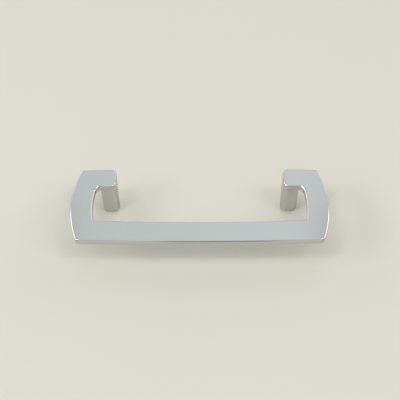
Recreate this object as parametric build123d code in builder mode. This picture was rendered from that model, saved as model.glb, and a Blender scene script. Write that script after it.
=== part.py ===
from build123d import *
import os
from math import radians, sqrt, tan

# Cabinet pull handle, cast in one piece: a flat C-shaped front plate carried by two tapered legs.
# The origin is midway between the two screw holes, on the mounting plane.
# +X runs along the grip bar, +Y from the grip bar to the tabs and +Z out of the cabinet front.

# Overall sizes, in millimetres
hole_spacing = 96.0  # between the centres of the screw holes
projection = 23.6  # mounting plane to front face
overall_length = 132.6  # across the bowed ends
plate_height = 45.8  # across the bowed long edges, at their crests
plate_thickness = 3.4

# Widths of the plate's band
bar_width = 12.1  # grip bar, at its middle
limb_width = 11.4  # bowed ends
tab_width = 11.5  # tabs over the legs, at the screw holes

# Bows of the plate's outline
end_radius = 56.5  # bowed ends
grip_edge_radius = 1950.0  # grip bar's outer edge, which only swells a little
long_edge_radius = 1500.0  # grip bar's inner edge and the tabs' back edges

# Legs
leg_width = 8.4  # along the pull, the same from foot to plate
foot_depth = 7.2  # across the pull, at the mounting plane
leg_back_land = 0.5  # tab's back edge to the leg's back face, under the plate

# Corners seen from the front
outer_tab_corner = 1.8
outer_bar_corner = 2.0
inner_tab_corner = 3.0
inner_bar_corner = 1.0
leg_corner = 2.6  # upright edges of the legs and the tab ends above them
corner_share = 0.45  # most of the tab's front wall that either of its corners may take

# Edge breaks
front_edge_radius = 1.1
back_edge_radius = 0.3
foot_edge_break = 0.3

# Blind tapped holes
thread_diameter = 4.0
thread_depth = 12.0
mouth_diameter = 4.6
mouth_angle = 90.0
drill_point_angle = 118.0

# Places worked out from the sizes
hole_x = hole_spacing / 2
plate_back = projection - plate_thickness
foot_back = foot_depth / 2
front_wall = -foot_depth / 2  # the legs' front faces, flush with the tabs' front walls
bow_at_hole = long_edge_radius - sqrt(long_edge_radius**2 - hole_x**2)
tab_back = front_wall + tab_width
top_crest = tab_back + bow_at_hole
bottom_crest = top_crest - plate_height
plate_middle = top_crest - plate_height / 2
end_centres = overall_length - 2 * end_radius
tab_gap = hole_spacing - leg_width
limb_inner_radius = end_radius - limb_width
limb_inner_at_tab = end_centres / 2 + sqrt(limb_inner_radius**2 - (front_wall - plate_middle) ** 2)
tab_front_length = limb_inner_at_tab - tab_gap / 2
tab_corner_limit = corner_share * tab_front_length
leg_corner_fitted = min(leg_corner, tab_corner_limit)
inner_tab_corner_fitted = min(inner_tab_corner, tab_corner_limit)

# The leg's back face leans from the foot out to the land under the tab, and runs on into the plate
leg_top = projection - plate_thickness / 2
back_lean = (tab_back - leg_back_land - foot_back) / plate_back
leg_back_at_top = foot_back + back_lean * leg_top

# Opening behind the grip bar, and the gap between the tabs
with BuildSketch() as opening:
    with Locations((0, plate_middle)):
        SlotCenterToCenter(end_centres, 2 * limb_inner_radius)
    with Locations((0, bottom_crest + bar_width + long_edge_radius)):
        Circle(long_edge_radius, mode=Mode.INTERSECT)
    with Locations((0, front_wall)):
        Rectangle(overall_length, plate_height, align=(Align.CENTER, Align.MAX), mode=Mode.INTERSECT)
        Rectangle(tab_gap, plate_height, align=(Align.CENTER, Align.MIN))

# Leg: a tapered side profile with rounded upright edges and a tapped hole in the foot
with BuildPart() as leg:
    with BuildSketch(Plane.YZ):
        with BuildLine():
            Polyline(
                (front_wall, 0),
                (foot_back, 0),
                (leg_back_at_top, leg_top),
                (front_wall, leg_top),
                close=True,
            )
        make_face()
    extrude(amount=leg_width / 2, both=True)
    fillet(leg.edges().group_by(Axis.Z)[1], leg_corner_fitted)
    foot = leg.faces().sort_by(Axis.Z)[0]
    chamfer(foot.edges(), foot_edge_break)
    with Locations(-Plane.XY):
        CounterSinkHole(thread_diameter / 2, mouth_diameter / 2, thread_depth, mouth_angle)
    with Locations((0, 0, thread_depth)):
        Cone(
            thread_diameter / 2,
            0,
            thread_diameter / 2 / tan(radians(drill_point_angle / 2)),
            align=(Align.CENTER, Align.CENTER, Align.MIN),
            mode=Mode.SUBTRACT,
        )

# Handle: the plate with its edges broken, then a leg under each tab
with BuildPart() as pull_handle:
    with BuildSketch(Plane.XY.offset(plate_back)) as plate:
        with Locations((0, plate_middle)):
            SlotCenterToCenter(end_centres, 2 * end_radius)
        with Locations((0, bottom_crest + grip_edge_radius)):
            Circle(grip_edge_radius, mode=Mode.INTERSECT)
        with Locations((0, top_crest - long_edge_radius)):
            Circle(long_edge_radius, mode=Mode.INTERSECT)
        add(opening.sketch_local, mode=Mode.SUBTRACT)
    extrude(amount=plate_thickness)
    upright_rows = pull_handle.edges().filter_by(Axis.Z).group_by(Axis.Y, tol_digits=3)
    outer_bar, inner_bar, tab_fronts, outer_tab, tab_end_backs = upright_rows
    tab_fronts = tab_fronts.sort_by(lambda upright: abs(upright.center().X))
    tab_end_fronts = tab_fronts[:2]
    inner_tab = tab_fronts[2:]
    fillet(outer_bar, outer_bar_corner)
    fillet(inner_bar, inner_bar_corner)
    fillet(outer_tab, outer_tab_corner)
    fillet(inner_tab, inner_tab_corner_fitted)
    fillet(tab_end_fronts + tab_end_backs, leg_corner_fitted)
    fillet(pull_handle.faces().sort_by(Axis.Z)[-1].edges(), front_edge_radius)
    fillet(pull_handle.faces().sort_by(Axis.Z)[0].edges(), back_edge_radius)
    with Locations((-hole_x, 0), (hole_x, 0)):
        add(leg.part)

os.makedirs("parts", exist_ok=True)
pull_handle.part.label = "pull_handle"
export_step(pull_handle.part, "parts/pull_handle.step")
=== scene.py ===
import math

import bmesh
import bpy
from mathutils import Matrix, Vector


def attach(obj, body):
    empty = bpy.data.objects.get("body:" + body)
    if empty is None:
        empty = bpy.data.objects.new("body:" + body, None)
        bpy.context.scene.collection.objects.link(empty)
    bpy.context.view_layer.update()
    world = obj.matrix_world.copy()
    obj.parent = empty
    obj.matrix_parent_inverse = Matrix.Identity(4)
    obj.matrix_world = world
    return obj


# Looks of the cabinet pull handle: chrome finish, tapped threads, cream panel, soft studio light.
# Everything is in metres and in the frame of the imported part.

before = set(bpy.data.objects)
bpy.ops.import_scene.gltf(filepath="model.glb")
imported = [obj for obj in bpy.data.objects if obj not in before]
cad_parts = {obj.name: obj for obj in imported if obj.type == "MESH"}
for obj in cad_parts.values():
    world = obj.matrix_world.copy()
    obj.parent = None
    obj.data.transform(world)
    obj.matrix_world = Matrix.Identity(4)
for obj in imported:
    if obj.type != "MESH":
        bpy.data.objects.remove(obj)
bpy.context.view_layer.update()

MM = 0.001

# A span is a pair of values: an effect is 0 at the first and full at the second, rising or falling.

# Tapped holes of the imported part
HOLE_X = 48.0 * MM
BORE_RADIUS = 2.0 * MM
BORE_DEPTH = 12.0 * MM
MOUTH_DEPTH = 0.3 * MM
MOUTH_RADIUS = 2.3 * MM

# Thread cut in the holes, M4 coarse
THREAD_PITCH = 0.7 * MM
THREAD_CREST_RADIUS = 1.62 * MM
THREAD_ROOT_RADIUS = BORE_RADIUS + 0.02 * MM  # just inside the wall, so that no gap shows
THREAD_HALF_CREST = 1 / 8 * THREAD_PITCH
THREAD_HALF_ROOT = 7 / 16 * THREAD_PITCH
THREAD_START = MOUTH_DEPTH + 0.6 * THREAD_PITCH  # middle of the ridge where it begins
THREAD_TURNS = 14
THREAD_STEPS_PER_TURN = 40
FLANK_EDGE_ANGLE = math.radians(30)

# Chrome plating, with clouds of slightly uneven gloss and fine polishing marks along the handle
PLATING_DARK = (0.622, 0.622, 0.615, 1)
PLATING_LIGHT = (0.642, 0.642, 0.635, 1)
PLATING_EDGE_TINT = (0.78, 0.78, 0.78, 1)
PLATING_ROUGHNESS = 0.05
CLOUD_SCALE = 90.0
CLOUD_DETAIL = 3.0
CLOUD_ROUGHNESS = 0.04
MARK_STRETCH = (60.0, 2600.0, 2600.0)
MARK_SCALE = 1.0
MARK_DETAIL = 2.0
MARK_ROUGHNESS = 0.02
MARK_STRENGTH = 0.25
MARK_HEIGHT = 0.5e-6

# Inner edges of the bowed ends, which face the middle of the handle and are less polished
INNER_EDGE_ROUGHNESS = 0.35
INNER_EDGE_FACING = (-5 * MM, -15 * MM)  # span of x times the surface's direction in x
INNER_EDGE_Y = (-5 * MM, -8 * MM)

# Bare casting metal, in the holes and on the threads
BARE_DARK = (0.30, 0.30, 0.29, 1)
BARE_LIGHT = (0.42, 0.42, 0.41, 1)
BORE_ROUGHNESS = 0.35  # added to the plating's
BORE_RIM = (MOUTH_RADIUS + 0.05 * MM, MOUTH_RADIUS - 0.05 * MM)
BORE_TOP = (BORE_DEPTH + 2.0 * MM, BORE_DEPTH + 1.5 * MM)
GRAIN_SCALE = 3000.0
GRAIN_DETAIL = 3.0
GRAIN_ROUGHNESS = 0.2
THREAD_ROUGHNESS = 0.3

# Cream painted panel that the handle stands on
PANEL_HALF_SIZE = 40.0
CREAM_DARK = (0.692, 0.668, 0.598, 1)
CREAM_LIGHT = (0.711, 0.688, 0.617, 1)
CREAM_ROUGHNESS = 0.6
CREAM_SPECULAR = 0.2
MOTTLE_SCALE = 9.0
MOTTLE_DETAIL = 2.0

# Row of lamps that runs along the handle, above it and a little in front
LAMP_DISTANCE = 2.0
LAMP_ROW_LEAN = -0.19
LAMP_ROW_WIDTH = 0.58
# Each lamp's name, the angles it spans from straight up towards +X, in degrees, and its radiance
LAMPS = [
    ("far_left_lamp", -40.0, -66.0, 4.84),
    ("left_lamp", -18.5, -29.0, 7.62),
    ("right_lamp", 18.5, 29.0, 7.21),
    ("far_right_lamp", 36.0, 56.0, 2.58),
]

# Surroundings, placed by direction: x to the right, y to the back and z up, each from -1 to 1
ROOM_COLOUR = (0.38, 0.365, 0.34, 1)
BACKDROP_COLOUR = (0.84, 0.91, 0.912, 1)
BACKDROP_Y = (0.2, 0.45)
BACKDROP_LEFT_SHARE = 0.85
BACKDROP_RIGHT_GAIN = 0.14
BACKDROP_TURN_X = (-0.2, 0.2)
# The backdrop is dimmer at both sides of its middle, and less so higher up at the back
DIM_MIDDLE_X = -0.008
DIM_SIDES = (0.125, 0.2)
DIM_SHARE = 0.5
DIM_LOSS = 0.7
DIM_LOSS_Y = (0.52, 0.57)
# Part of the backdrop that arches over the handle
OVERHEAD_Y = (-0.4, -0.3)
OVERHEAD_SIDES = (0.3, 0.16)
# Pair of soft lights ahead, with a gap between them
AHEAD_LIGHT = 0.32
AHEAD_Y = (-0.35, -0.5)
AHEAD_MIDDLE_X = 0.03
AHEAD_GAP = (0.06, 0.12)
AHEAD_SIDES = (0.4, 0.25)
# Bright walls at the left and right
LEFT_WALL_LIGHT = 1.75
LEFT_WALL_X = (-0.3, -0.6)
RIGHT_WALL_LIGHT = 1.65
RIGHT_WALL_X = (0.3, 0.6)
SIDE_WALL_FRONT_Y = (0.0, 0.12)
SIDE_WALL_BACK_Y = (0.56, 0.44)
SIDE_WALL_TOP_Z = (0.7, 0.4)
# Fainter walls in the two back corners
CORNER_LIGHT = 0.75
CORNER_SIDES = (0.3, 0.45)
CORNER_Y = (0.5, 0.7)
CORNER_TOP_Z = (0.6, 0.25)

# Camera of the photograph
CAMERA_TARGET = Vector((0.12, 3.975, 0.0)) * MM
CAMERA_DISTANCE = 423.84 * MM
CAMERA_ELEVATION = math.radians(55.83)
CAMERA_ROLL = math.radians(-0.13)
CAMERA_LENS = 69.354
CAMERA_SENSOR = 36.0


class Channel:
    """A socket in a node tree. Its operators add Math nodes, so shader sums read as plain sums."""

    def __init__(self, sheet, socket):
        self.sheet = sheet
        self.socket = socket

    def combine(self, operation, *terms):
        return self.sheet.node("ShaderNodeMath", {"operation": operation}, dict(enumerate(terms)))

    def __add__(self, other):
        return self.combine("ADD", self, other)

    def __radd__(self, other):
        return self.combine("ADD", other, self)

    def __sub__(self, other):
        return self.combine("SUBTRACT", self, other)

    def __rsub__(self, other):
        return self.combine("SUBTRACT", other, self)

    def __mul__(self, other):
        return self.combine("MULTIPLY", self, other)

    def __rmul__(self, other):
        return self.combine("MULTIPLY", other, self)

    def __pow__(self, other):
        return self.combine("POWER", self, other)

    def __abs__(self):
        return self.combine("ABSOLUTE", self)


class NodeSheet:
    """The node tree of a material or of the world, with one method that adds any node."""

    def __init__(self, owner):
        owner.use_nodes = True
        self.tree = owner.node_tree
        self.tree.nodes.clear()

    def node(self, kind, settings=None, sockets=None, output=0):
        made = self.tree.nodes.new(kind)
        for name, value in (settings or {}).items():
            setattr(made, name, value)
        for name, value in (sockets or {}).items():
            if isinstance(value, Channel):
                self.tree.links.new(value.socket, made.inputs[name])
            else:
                made.inputs[name].default_value = value
        return Channel(self, made.outputs[output]) if made.outputs else made

    def split(self, vector):
        parts = self.node("ShaderNodeSeparateXYZ", None, {0: vector}).socket.node
        return [Channel(self, socket) for socket in parts.outputs]

    def ramp(self, value, span):
        """Smooth step of a value: 0 at the span's first end and before, 1 at its second and after."""
        settings = {"interpolation_type": "SMOOTHSTEP"}
        sockets = {"Value": value, "From Min": span[0], "From Max": span[1]}
        return self.node("ShaderNodeMapRange", settings, sockets)

    def mix(self, share, first, second):
        """Colour between first and second."""
        settings = {"data_type": "RGBA"}
        return self.node("ShaderNodeMix", settings, {0: share, 6: first, 7: second}, output=2)

    def noise(self, place, scale, detail):
        sockets = {"Vector": place, "Scale": scale, "Detail": detail}
        return self.node("ShaderNodeTexNoise", None, sockets)

    def surface(self, sockets):
        """Principled shader, as the surface of the material."""
        shader = self.node("ShaderNodeBsdfPrincipled", None, sockets)
        self.node("ShaderNodeOutputMaterial", None, {"Surface": shader})


def chrome_finish():
    """Polished plating with faint polishing marks. The tapped holes are dull bare casting."""
    material = bpy.data.materials.new("chrome_plating")
    sheet = NodeSheet(material)
    place = sheet.node("ShaderNodeTexCoord", output="Object")
    x, y, z = sheet.split(place)
    from_axis = ((abs(x) - HOLE_X) ** 2 + y ** 2) ** 0.5
    in_hole = sheet.ramp(from_axis, BORE_RIM) * sheet.ramp(z, BORE_TOP)
    clouds = sheet.noise(place, CLOUD_SCALE, CLOUD_DETAIL)
    along = sheet.node("ShaderNodeMapping", None, {"Vector": place, "Scale": MARK_STRETCH})
    marks = sheet.noise(along, MARK_SCALE, MARK_DETAIL)
    gloss = PLATING_ROUGHNESS + CLOUD_ROUGHNESS * clouds + MARK_ROUGHNESS * marks
    facing_x = sheet.split(sheet.node("ShaderNodeTexCoord", output="Normal"))[0]
    inner_edge = sheet.ramp(x * facing_x, INNER_EDGE_FACING) * sheet.ramp(y, INNER_EDGE_Y)
    plating = sheet.mix(clouds, PLATING_DARK, PLATING_LIGHT)
    relief = {"Strength": MARK_STRENGTH, "Distance": MARK_HEIGHT, "Height": marks}
    sheet.surface({
        "Base Color": sheet.mix(in_hole, plating, BARE_DARK),
        "Roughness": gloss + BORE_ROUGHNESS * in_hole + INNER_EDGE_ROUGHNESS * inner_edge,
        "Metallic": 1.0,
        "Specular Tint": PLATING_EDGE_TINT,
        "Normal": sheet.node("ShaderNodeBump", None, relief),
    })
    return material


def thread_finish():
    """Freshly cut threads: bare grey casting metal with a fine grain."""
    material = bpy.data.materials.new("tapped_casting")
    sheet = NodeSheet(material)
    place = sheet.node("ShaderNodeTexCoord", output="Object")
    grain = sheet.noise(place, GRAIN_SCALE, GRAIN_DETAIL)
    sheet.surface({
        "Base Color": sheet.mix(grain, BARE_DARK, BARE_LIGHT),
        "Roughness": THREAD_ROUGHNESS + GRAIN_ROUGHNESS * grain,
        "Metallic": 1.0,
    })
    return material


def panel_finish():
    """Cream paint with the slightest mottling."""
    material = bpy.data.materials.new("cream_panel")
    sheet = NodeSheet(material)
    place = sheet.node("ShaderNodeTexCoord", output="Object")
    mottle = sheet.noise(place, MOTTLE_SCALE, MOTTLE_DETAIL)
    sheet.surface({
        "Base Color": sheet.mix(mottle, CREAM_DARK, CREAM_LIGHT),
        "Roughness": CREAM_ROUGHNESS,
        "Specular IOR Level": CREAM_SPECULAR,
    })
    return material


def new_piece(name, mesh_work, material):
    """Object at the origin from a finished bmesh, with smooth faces."""
    mesh = bpy.data.meshes.new(name)
    for face in mesh_work.faces:
        face.smooth = True
    mesh_work.to_mesh(mesh)
    mesh_work.free()
    mesh.materials.append(material)
    piece = bpy.data.objects.new(name, mesh)
    bpy.context.scene.collection.objects.link(piece)
    return piece


def thread_ridge(name, hole_x, material):
    """Helical ridge on the wall of one tapped hole."""
    work = bmesh.new()
    profile = [
        (THREAD_ROOT_RADIUS, -THREAD_HALF_ROOT),
        (THREAD_CREST_RADIUS, -THREAD_HALF_CREST),
        (THREAD_CREST_RADIUS, THREAD_HALF_CREST),
        (THREAD_ROOT_RADIUS, THREAD_HALF_ROOT),
    ]
    corners = [work.verts.new((hole_x + radius, 0, THREAD_START + height)) for radius, height in profile]
    section = work.faces.new(corners)
    bmesh.ops.spin(
        work,
        geom=[section],
        cent=(hole_x, 0, 0),
        axis=(0, 0, 1),
        dvec=(0, 0, THREAD_PITCH / THREAD_STEPS_PER_TURN),
        angle=THREAD_TURNS * 2 * math.pi,
        steps=THREAD_TURNS * THREAD_STEPS_PER_TURN,
    )
    bmesh.ops.recalc_face_normals(work, faces=work.faces)
    ridge = new_piece(name, work, material)
    edges = ridge.modifiers.new("flank_edges", "EDGE_SPLIT")
    edges.split_angle = FLANK_EDGE_ANGLE
    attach(ridge, "root")


def row_lamp(name, near_angle, far_angle, radiance):
    """One lamp of the row above the handle, between two angles from straight up towards +X."""
    middle = (near_angle + far_angle) / 2
    way = Vector((math.sin(middle), LAMP_ROW_LEAN, math.cos(middle))).normalized()
    lamp = bpy.data.lights.new(name, "AREA")
    lamp.shape = "RECTANGLE"
    lamp.size = 2 * LAMP_DISTANCE * math.tan(abs(far_angle - near_angle) / 2)
    lamp.size_y = LAMP_ROW_WIDTH
    lamp.energy = radiance * math.pi * lamp.size * lamp.size_y
    holder = bpy.data.objects.new(name, lamp)
    holder.location = way * LAMP_DISTANCE
    holder.rotation_mode = "QUATERNION"
    holder.rotation_quaternion = (-way).to_track_quat("-Z", "Y")
    bpy.context.scene.collection.objects.link(holder)


def room_light():
    """A dim warm room, with a pale cool backdrop behind and over the handle and bright walls round it."""
    world = bpy.data.worlds.new("room")
    room = NodeSheet(world)
    x, y, z = room.split(room.node("ShaderNodeTexCoord", output="Generated"))
    off_middle = abs(x)
    rising = room.ramp(y, BACKDROP_Y)
    dim_sides = room.ramp(abs(x - DIM_MIDDLE_X), DIM_SIDES) * (1 - DIM_LOSS * room.ramp(y, DIM_LOSS_Y))
    behind = rising * (1 - DIM_SHARE * dim_sides)
    overhead = (1 - rising) * room.ramp(y, OVERHEAD_Y) * room.ramp(off_middle, OVERHEAD_SIDES)
    level = BACKDROP_LEFT_SHARE + BACKDROP_RIGHT_GAIN * room.ramp(x, BACKDROP_TURN_X)
    backdrop = room.mix((behind + overhead) * level, ROOM_COLOUR, BACKDROP_COLOUR)
    ahead = room.ramp(y, AHEAD_Y) * room.ramp(abs(x - AHEAD_MIDDLE_X), AHEAD_GAP)
    ahead = ahead * room.ramp(off_middle, AHEAD_SIDES)
    beside = room.ramp(z, SIDE_WALL_TOP_Z) * room.ramp(y, SIDE_WALL_FRONT_Y)
    beside = beside * room.ramp(y, SIDE_WALL_BACK_Y)
    left_wall = beside * room.ramp(x, LEFT_WALL_X)
    right_wall = beside * room.ramp(x, RIGHT_WALL_X)
    corners = room.ramp(z, CORNER_TOP_Z) * room.ramp(y, CORNER_Y) * room.ramp(off_middle, CORNER_SIDES)
    walls = AHEAD_LIGHT * ahead + LEFT_WALL_LIGHT * left_wall
    walls = walls + RIGHT_WALL_LIGHT * right_wall + CORNER_LIGHT * corners
    soft = room.node("ShaderNodeBackground", None, {"Color": backdrop, "Strength": 1.0})
    bright = room.node("ShaderNodeBackground", None, {"Color": (1, 1, 1, 1), "Strength": walls})
    glow = room.node("ShaderNodeAddShader", None, {0: soft, 1: bright})
    room.node("ShaderNodeOutputWorld", None, {"Surface": glow})
    return world


def photograph_camera():
    """Camera that looks at the handle as the photograph's does."""
    camera_data = bpy.data.cameras.new("camera")
    camera_data.lens = CAMERA_LENS
    camera_data.sensor_width = CAMERA_SENSOR
    camera = bpy.data.objects.new("camera", camera_data)
    bpy.context.scene.collection.objects.link(camera)
    tilt = math.pi / 2 - CAMERA_ELEVATION
    back = Vector((0, -math.cos(CAMERA_ELEVATION), math.sin(CAMERA_ELEVATION)))
    turn = Matrix.Rotation(tilt, 4, "X") @ Matrix.Rotation(CAMERA_ROLL, 4, "Z")
    camera.matrix_world = Matrix.Translation(CAMERA_TARGET + back * CAMERA_DISTANCE) @ turn
    return camera


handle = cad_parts["pull_handle"]
handle.data.materials.clear()
handle.data.materials.append(chrome_finish())

thread_metal = thread_finish()
thread_ridge("thread_left", -HOLE_X, thread_metal)
thread_ridge("thread_right", HOLE_X, thread_metal)

panel_work = bmesh.new()
bmesh.ops.create_grid(panel_work, x_segments=1, y_segments=1, size=PANEL_HALF_SIZE)
panel = new_piece("panel", panel_work, panel_finish())

for lamp_name, near_degrees, far_degrees, radiance in LAMPS:
    row_lamp(lamp_name, math.radians(near_degrees), math.radians(far_degrees), radiance)

bpy.context.scene.world = room_light()
bpy.context.scene.camera = photograph_camera()
bpy.context.scene.view_settings.view_transform = "Standard"
